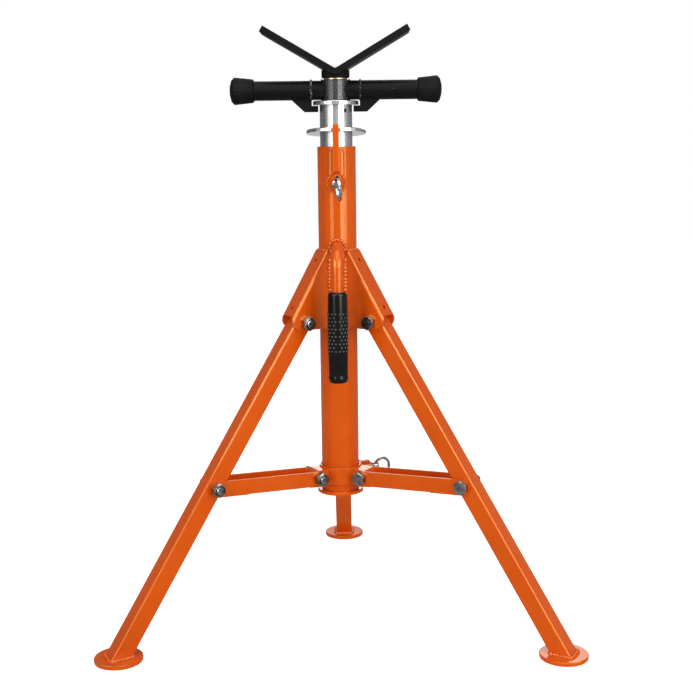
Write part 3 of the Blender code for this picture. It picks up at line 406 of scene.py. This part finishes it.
def bead(name, path, radius, body, finish="orange_bead", step=0.0024, closed=False):
    """Path sampled evenly, with a round section that swells as |cos| of the way, once a step."""
    path = np.asarray(path, float)
    if closed:
        path = np.concatenate([path, path[:1]])
    gone = np.concatenate([[0], np.cumsum(np.linalg.norm(np.diff(path, axis=0), axis=1))])
    rings_a_step = 6
    count = max(int(gone[-1] / step), 3) * rings_a_step
    along = np.linspace(0, gone[-1], count, endpoint=not closed)
    line = np.stack([np.interp(along, gone, path[:, axis]) for axis in range(3)], -1)
    turns = along / step
    swell = 0.66 + 0.34 * np.abs(np.cos(pi * turns)) + 0.08 * np.sin(1.7 * turns)
    if not closed:
        ends = np.minimum(along, gone[-1] - along) / radius
        swell = swell * np.sqrt(np.clip(ends, 0.05, 1))
    return tube_along(name, line, radius * swell, body, finish, sides=10, smooth=70, closed=closed)


def seam_round(radius, carrier, height, azimuth):
    """Where a round stub of one radius leaves a post of another: out = sqrt(post^2 - side^2)."""
    turn = np.linspace(0, 2 * pi, 72, endpoint=False)
    side = radius * np.cos(turn)
    out = np.sqrt(carrier ** 2 - side ** 2)
    points = np.stack([out, side, height + radius * np.sin(turn)], -1)
    return placed(points, basis(azimuth))


def post_welds():
    """Rings round the bosses and the handle, and three seams on the post for each bracket."""
    bead("boss_weld", seam_round(0.0115, POST_R, FRONT_PLUNGER_Z, FRONT), 0.0019, "post",
         closed=True)
    bead("handle_weld", seam_round(0.0096, POST_R, HANDLE_Z, FRONT), 0.0025, "post", step=0.0052,
         closed=True)
    bead("collar_boss_weld", seam_round(0.0113, COLLAR_R, COLLAR_PLUNGER_Z, radians(30)), 0.0012,
         "collar", closed=True)
    low, high, seam_out, seam_side = 0.3865, 0.474, 0.0206, 0.0165
    height = np.linspace(low, high, 40)
    top_z, top_out = 0.4826, 0.0246
    turn = np.linspace(-0.62, 0.62, 30)
    top = np.stack([top_out * np.cos(turn), top_out * np.sin(turn),
                    top_z - 0.004 * (1 - np.cos(turn))], -1)
    for number, azimuth in enumerate(LEG_AZIMUTHS, 1):
        at = basis(azimuth)
        for side, name in ((1, "a"), (-1, "b")):
            seam = np.stack([np.full_like(height, seam_out),
                             np.full_like(height, side * seam_side), height], -1)
            bead(f"bracket_weld_{number}{name}", placed(seam, at), 0.0030, "post", step=0.0046)
        bead(f"bracket_top_weld_{number}", placed(top, at), 0.0016, "post")


def leg_welds():
    """Rounded rectangle where each leg meets its foot plate: cos and sin to the power 0.28."""
    turn = np.linspace(0, 2 * pi, 96, endpoint=False)
    wave = np.stack([np.cos(turn), np.sin(turn)], -1)
    square = np.sign(wave) * np.abs(wave) ** 0.28
    half = np.array([LEG_WIDTH / cos(LEG_SLOPE) / 2 + 0.0012, 0.0132])
    flat = square * half
    foot = np.stack([FOOT_OUT + flat[:, 0], flat[:, 1], np.full_like(turn, FOOT_TOP)], -1)
    for number, azimuth in enumerate(LEG_AZIMUTHS, 1):
        bead(f"foot_weld_{number}", placed(foot, basis(azimuth)), 0.0026, f"leg_{number}",
             step=0.0044, closed=True)


def head_welds():
    """Two rings round each handle arm, at the hub and further out, and seams on its hook plate."""
    turn = np.linspace(0, 2 * pi, 72, endpoint=False)
    ring_out, ring_radius = 0.0305, 0.0121
    ring = np.stack([np.full_like(turn, ring_out), ring_radius * np.cos(turn),
                     ARM_Z + ring_radius * np.sin(turn)], -1)
    out = np.linspace(0.0325, 0.0535, 20)
    height = np.full_like(out, ARM_Z - 0.01135)
    for side, azimuth in (("left", pi), ("right", 0.0)):
        bead(f"hub_weld_{side}", seam_round(0.0124, HUB_R, ARM_Z, azimuth), 0.0011,
             "turning_nut", "paint", closed=True)
        bead(f"arm_weld_{side}", placed(ring, basis(azimuth)), 0.0013, "turning_nut", "worn_weld",
             closed=True)
        for face, word in ((1, "front"), (-1, "back")):
            seam = np.stack([out, np.full_like(out, face * 0.0041), height], -1)
            bead(f"hook_weld_{side}_{word}", placed(seam, basis(azimuth)), 0.0010, "turning_nut",
                 "paint")


# Finer forms on the plain solids, or in their place

def guide_shoulder():
    """Raised patch on the post behind the guide plate; its half width shrinks past its shoulder."""
    low, shoulder, top = 0.5745, 0.6036, 0.6084
    height = np.concatenate([[low, low], np.linspace(0.5757, 0.6030, 16),
                             np.linspace(shoulder, 0.6072, 6), [top, top]])
    half = 0.0092 - np.clip(height - shoulder, 0, 1) * 0.80
    across = np.concatenate([[-1, -1], np.linspace(-0.86, 0.86, 19), [1, 1]])
    angle = half[:, None] / POST_R * across[None]
    out = np.full(angle.shape, POST_R + 0.0026)
    out[:, [1, -2]] = out[[1, -2]] = POST_R + 0.0013
    out[:, [0, -1]] = out[[0, -1]] = POST_R - 0.0004
    points = np.stack([out * np.cos(angle), out * np.sin(angle),
                       np.broadcast_to(height[:, None], out.shape)], -1)
    dress(surface("guide_shoulder", placed(points, basis(FRONT)), smooth=20), "post", "orange")
    corner = angle[-1:, 0] * 0.5
    edge = np.concatenate([angle[1:-1, 0], corner, -corner, -angle[-2:0:-1, 0]])
    level = np.concatenate([height[1:-1], [top, top], height[-2:0:-1]])
    line = np.stack([POST_R * np.cos(edge), POST_R * np.sin(edge), level], -1)
    bead("shoulder_weld", placed(line, basis(FRONT)), 0.0011, "post", step=0.004)


def jack_thread():
    """Screw whose radius is a trapezium wave of height less the turn, one thread in a pitch."""
    pitch, crest, depth = 0.005, 0.0120, 0.0024
    collar_low = SCREW_TOP - 0.0018
    height = np.linspace(SCREW_TOP - 0.2895, collar_low, 700)
    turn = np.linspace(0, 2 * pi, 40, endpoint=False)
    phase = (height[:, None] / pitch - turn[None] / (2 * pi)) % 1.0
    flank = np.clip(np.abs(phase - 0.5) * 6 - 0.9, 0, 1)
    radius = crest - depth * flank
    points = np.stack([radius * np.cos(turn), radius * np.sin(turn),
                       np.broadcast_to(height[:, None], radius.shape)], -1)
    ends = points[[0, -1]] * np.array([0.0, 0.0, 1.0])
    points = np.concatenate([ends[:1], points, ends[1:]])
    rod = surface("jack_thread", placed(points, basis(0.0)), round_v=True, smooth=40)
    dress(rod, "lifting_head", "zinc")
    profile = [(0.0, SCREW_TOP), (0.0146, SCREW_TOP), (0.0150, SCREW_TOP - 0.0004),
               (0.0150, collar_low), (0.0, collar_low)]
    collar = turned("screw_collar", profile, "lifting_head", "yellow_zinc", closed=False)
    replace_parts(rod, "jack_screw")
    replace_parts(collar, "jack_screw")


def handle_rod():
    """Bent rod: a straight line out of the post, a quarter circle and a line down into the grip."""
    root, bend, low = 0.0222, 0.030, 0.3276
    turn = np.linspace(pi / 2, 0, 25)
    middle = HANDLE_REACH - bend, HANDLE_Z - bend
    out = np.concatenate([[root], middle[0] + bend * np.cos(turn), np.full(12, HANDLE_REACH)])
    height = np.concatenate([[HANDLE_Z], middle[1] + bend * np.sin(turn),
                             np.linspace(middle[1], low, 13)[1:]])
    path = placed(np.stack([out, np.zeros_like(out), height], -1), basis(FRONT))
    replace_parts(tube_along("handle_rod", path, 0.008, "post", "orange", sides=48), "carry_handle")


def roll_pin():
    """Hollow guide pin in the wall of the inner tube, turned about an axis that points outwards."""
    aside, height = 0.0118, 0.6547
    azimuth = np.arcsin(aside / INNER_R) + FRONT
    axis = basis(azimuth) @ Matrix.Translation((0, 0, height)) @ Matrix.Rotation(pi / 2, 4, "Y")
    inner, outer = INNER_R - 0.003, INNER_R + 0.0003
    profile = [(0.0017, outer - 0.0003), (0.0019, outer), (0.0021, outer), (0.0022, outer - 0.0002),
               (0.0022, inner), (0.0017, inner)]
    pin = turned("roll_pin", profile, "telescoping_tube", "zinc", matrix=axis, sides=32)
    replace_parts(pin, "guide_pin")


def grip():
    """Turned grip with a rolled rim, and round dots on a staggered lattice of rows and columns."""
    low, top, middle, dots_round = 0.3223, 0.4355, 0.386, 16
    row_gap, column_gap, dot_radius, dot_height = 0.0046, 0.0049, 0.00105, 0.0010
    height = np.concatenate([[low, low, low + 0.0004, low + 0.0012, low + 0.0026],
                             np.linspace(low + 0.0045, top - 0.003, 330),
                             [top - 0.0018, top - 0.0008, top - 0.0002, top]])
    turn = np.linspace(0, 2 * pi, 224, endpoint=False)
    share = (height - low) / (top - low)
    radius = 0.0119 + 0.0006 * np.sin(pi * share)
    for rise, above in ((0.0004, 0.0062), (-0.00015, 0.0105)):
        radius = radius + rise * np.exp(-((height - low - above) / 0.0016) ** 2)
    edge = np.minimum(height - low, top - height)
    round_off = np.sqrt(np.clip(1 - (1 - np.clip(edge / 0.0042, 0, 1)) ** 2, 0, 1))
    radius = radius - 0.0040 * (1 - round_off)
    rows = (height[:, None] - middle) / row_gap
    columns = turn[None] / (2 * pi) * dots_round + 0.5 * (np.round(rows) % 2)
    gap = np.hypot((rows - np.round(rows)) * row_gap, (columns - np.round(columns)) * column_gap)
    dots = np.sqrt(np.clip(1 - (gap / dot_radius) ** 2, 0, 1))
    inside = (np.abs(height[:, None] - middle) < 0.0255) & (np.abs(np.sin(turn))[None] > 0.10)
    radius = radius[:, None] + dot_height * dots * inside
    points = np.stack([HANDLE_REACH + radius * np.cos(turn), radius * np.sin(turn),
                       np.broadcast_to(height[:, None], radius.shape)], -1)
    bore, well_depth = 0.0083, 0.004
    mouth = np.stack([HANDLE_REACH + bore * np.cos(turn), bore * np.sin(turn),
                      np.full_like(turn, top)], -1)[None]
    well = mouth - np.array([0, 0, well_depth])
    bottom = np.broadcast_to([HANDLE_REACH, 0, low], mouth.shape)
    well_middle = np.broadcast_to([HANDLE_REACH, 0, top - well_depth], mouth.shape)
    points = np.concatenate([bottom, points, mouth, well, well_middle])
    piece = surface("moulded_grip", placed(points, basis(FRONT)), round_v=True, smooth=45)
    dress(piece, "post", "grip")
    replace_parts(piece, "handle_grip")


def brace(number):
    """Bent channel: a U of sheet carried along its middle, and a round lobe on each cheek's end."""
    half, sheet, bend, depth, length = 0.015, 0.0025, 0.0029, 0.020, 0.1440087
    channel_start, channel_end = 0.014, 0.100
    lobe = depth / 2
    web = depth - 0.009
    turn = np.linspace(pi / 2, 0, 7)
    quarter = np.stack([np.cos(turn), np.sin(turn)], -1)
    low = np.array([[web - depth, half], [web - depth, half - sheet]])
    sides = []
    for edge, radius in zip(low, (bend, bend - sheet)):
        bent = np.array([web - bend, half - bend]) + radius * quarter
        one = np.concatenate([[edge], bent])
        sides.append(np.concatenate([one, one[::-1] * [1, -1]]))
    count = len(sides[0])
    section = np.concatenate([sides[0], sides[1][::-1]])
    along = np.repeat([channel_start, channel_end], 2 * count)
    points = [np.stack([np.tile(section[:, 0], 2), np.tile(section[:, 1], 2), along], -1)]
    ring = np.arange(2 * count)
    after = np.roll(ring, -1)
    faces = [np.stack([ring, after, after + 2 * count, ring + 2 * count], -1)]
    strip = np.arange(count - 1)
    cap = np.stack([strip, strip + 1, 2 * count - 2 - strip, 2 * count - 1 - strip], -1)
    faces += [cap, cap + 2 * count]
    start = 4 * count
    angle = np.linspace(pi / 2, 3 * pi / 2, 28)
    for centre, inward, stop in ((0.0, 1, channel_start), (length, -1, channel_end)):
        rim = np.stack([web - lobe + lobe * np.sin(angle),
                        centre + inward * lobe * np.cos(angle)], -1)
        rim = np.concatenate([[[web, stop]], rim, [[web - depth, stop]]])
        size = len(rim)
        ring = np.arange(size)
        after = np.roll(ring, -1)
        wall = np.stack([ring, after, after + size, ring + size], -1)
        fan = np.arange(1, size - 2, 2)
        flat = np.stack([np.zeros_like(fan), fan, fan + 1, fan + 2], -1)
        for side in (1, -1):
            for face in (half, half - sheet):
                points.append(np.stack([rim[:, 0], np.full(size, side * face), rim[:, 1]], -1))
            faces += [start + wall, start + flat, start + size + flat]
            start += 2 * size
    at = basis(LEG_AZIMUTHS[number - 1]) @ Matrix.Translation((PIVOT[0], 0, PIVOT[1]))
    at = at @ Matrix.Rotation(pi / 2 - BRACE_RISE, 4, "Y")
    piece = mesh_object(f"bent_brace_{number}", placed(np.concatenate(points), at),
                        np.concatenate(faces))
    dress(piece, f"brace_{number}_body", "orange")
    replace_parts(piece, f"brace_{number}")


def lock_rings():
    """Dark plastic ring in the crown of each lock nut."""
    places = {"leg": (HIP, 0.031, "post"), "brace": (KNEE, 0.030, "leg_{}"),
              "collar": (PIVOT, 0.030, "collar")}
    for name, (where, width, body) in places.items():
        for number, azimuth in enumerate(LEG_AZIMUTHS, 1):
            face = width / 2 + NUT_FACE
            profile = [(0.0051, face - 0.0004), (0.0053, face + 0.0003), (0.0060, face + 0.0005),
                       (0.0064, face + 0.0002), (0.0064, face - 0.0004)]
            across = basis(azimuth) @ Matrix.Translation((where[0], 0, where[1]))
            across = across @ Matrix.Rotation(-pi / 2, 4, "X")
            turned(f"{name}_lock_ring_{number}", profile, body.format(number), "plastic",
                   matrix=across, sides=32)


post_welds()
leg_welds()
head_welds()
guide_shoulder()
jack_thread()
handle_rod()
roll_pin()
grip()
for number in (1, 2, 3):
    brace(number)
lock_rings()


# Studio: floor, lamps and the photograph's camera

def seen_directly(tree):
    """1 where a ray comes from the camera, a mirror or clear glass, and 0 for bounced light."""
    ray = tree.nodes.new("ShaderNodeLightPath")
    seen = ray.outputs["Is Camera Ray"]
    for other in ("Is Glossy Ray", "Is Transmission Ray"):
        both = tree.nodes.new("ShaderNodeMath")
        both.operation = "MAXIMUM"
        tree.links.new(seen, both.inputs[0])
        tree.links.new(ray.outputs[other], both.inputs[1])
        seen = both.outputs[0]
    return seen


def floor():
    """Plain pale floor that stays white to the camera and keeps the shadow."""
    points = np.array([[[x, y, -0.0002] for y in (-6.0, 6.0)] for x in (-6.0, 6.0)])
    plane = surface("studio_floor", points)
    material, tree, shader, _ = node_tree("pale_floor")
    shader.inputs["Base Color"].default_value = (0.82, 0.82, 0.82, 1)
    shader.inputs["Roughness"].default_value = 0.9
    shader.inputs["Specular IOR Level"].default_value = 0.1
    shader.inputs["Emission Color"].default_value = (1, 1, 1, 1)
    tree.links.new(spread(tree, seen_directly(tree), 0.0, 0.72, 0, 1),
                   shader.inputs["Emission Strength"])
    plane.data.materials.append(material)


def white_world(ambient):
    """World that looks white and lights the object with the ambient strength."""
    world = bpy.data.worlds.new("studio")
    world.use_nodes = True
    bpy.context.scene.world = world
    tree = world.node_tree
    back = tree.nodes["Background"]
    back.inputs["Color"].default_value = (1, 1, 1, 1)
    tree.links.new(spread(tree, seen_directly(tree), ambient, 1.0, 0, 1), back.inputs["Strength"])


def lamp(name, azimuth, distance, height, size, watts):
    """Softbox at an azimuth from the photograph's side, turned towards the stand's middle."""
    middle = Vector((0, POST_Y, 0.42))
    data = bpy.data.lights.new(name, "AREA")
    data.shape = "RECTANGLE"
    data.size, data.size_y = size
    data.energy = watts
    light = bpy.data.objects.new(name, data)
    angle = radians(azimuth) + FRONT
    light.location = (distance * cos(angle), POST_Y + distance * sin(angle), height)
    light.rotation_euler = (middle - light.location).to_track_quat("-Z", "Y").to_euler()
    bpy.context.scene.collection.objects.link(light)


def flag(name, start, end, first, second, grey):
    """Screen seen in reflections only: an arc swept from one (distance, height) to a second."""
    angle = np.radians(np.linspace(start, end, 24)) + FRONT
    points = np.stack([np.stack([distance * np.cos(angle), POST_Y + distance * np.sin(angle),
                                 np.full_like(angle, height)], -1)
                       for distance, height in (first, second)])
    screen = surface(name, points)
    material, _, shader, _ = node_tree(name)
    shader.inputs["Base Color"].default_value = (0, 0, 0, 1)
    shader.inputs["Specular IOR Level"].default_value = 0
    shader.inputs["Emission Color"].default_value = (1, 1, 1, 1)
    shader.inputs["Emission Strength"].default_value = grey
    screen.data.materials.append(material)
    screen.visible_camera = False
    screen.visible_diffuse = False
    screen.visible_shadow = False


def photo_camera():
    """Camera of the photograph, placed and turned as it was fitted to the stand."""
    yaw, pitch, roll = radians(-0.509), radians(9.639), radians(-0.674)
    ahead = Vector((sin(yaw) * cos(pitch), cos(yaw) * cos(pitch), -sin(pitch)))
    level = Vector((cos(yaw), -sin(yaw), 0))
    above = level.cross(ahead)
    right = level * cos(roll) + above * sin(roll)
    up = above * cos(roll) - level * sin(roll)
    data = bpy.data.cameras.new("photo_camera")
    data.sensor_width = 36
    data.lens = 61.12
    camera = bpy.data.objects.new("photo_camera", data)
    turn = Matrix((right, up, -ahead)).transposed().to_4x4()
    camera.matrix_world = Matrix.Translation((0.02307, -1.57443, 0.61055)) @ turn
    bpy.context.scene.collection.objects.link(camera)
    bpy.context.scene.camera = camera


floor()
white_world(0.34)
lamp("left_strip", -38, 1.7, 0.86, (0.56, 1.36), 9)
lamp("right_strip", 37, 1.7, 0.86, (0.80, 1.36), 14)
lamp("overhead", 10, 0.5, 2.1, (1.4, 1.4), 12)
lamp("back_fill", 172, 1.9, 1.3, (1.0, 1.2), 9)
for start, end, grey in ((-170, -105, 0.20), (-105, -75, 0.12), (-75, -48, 0.34), (-48, 50, 0.38),
                         (50, 84, 0.60), (84, 122, 0.34), (122, 170, 0.24)):
    flag(f"screen_from_{start}", start, end, (2.2, 0.0), (2.2, 4.0), grey)
for side, start in (("left", -180), ("right", 0)):
    flag(f"low_screen_{side}", start, start + 180, (0.02, 0.0015), (2.2, 0.0015), 0.3)
flag("right_box", 24, 51, (2.1, 0.18), (2.1, 1.30), 2.5)
flag("left_card", -75, -15, (2.1, 1.30), (2.1, 2.60), 6.0)
flag("right_card", 15, 75, (2.1, 1.30), (2.1, 2.60), 6.0)
photo_camera()
bpy.context.scene.view_settings.view_transform = "Standard"
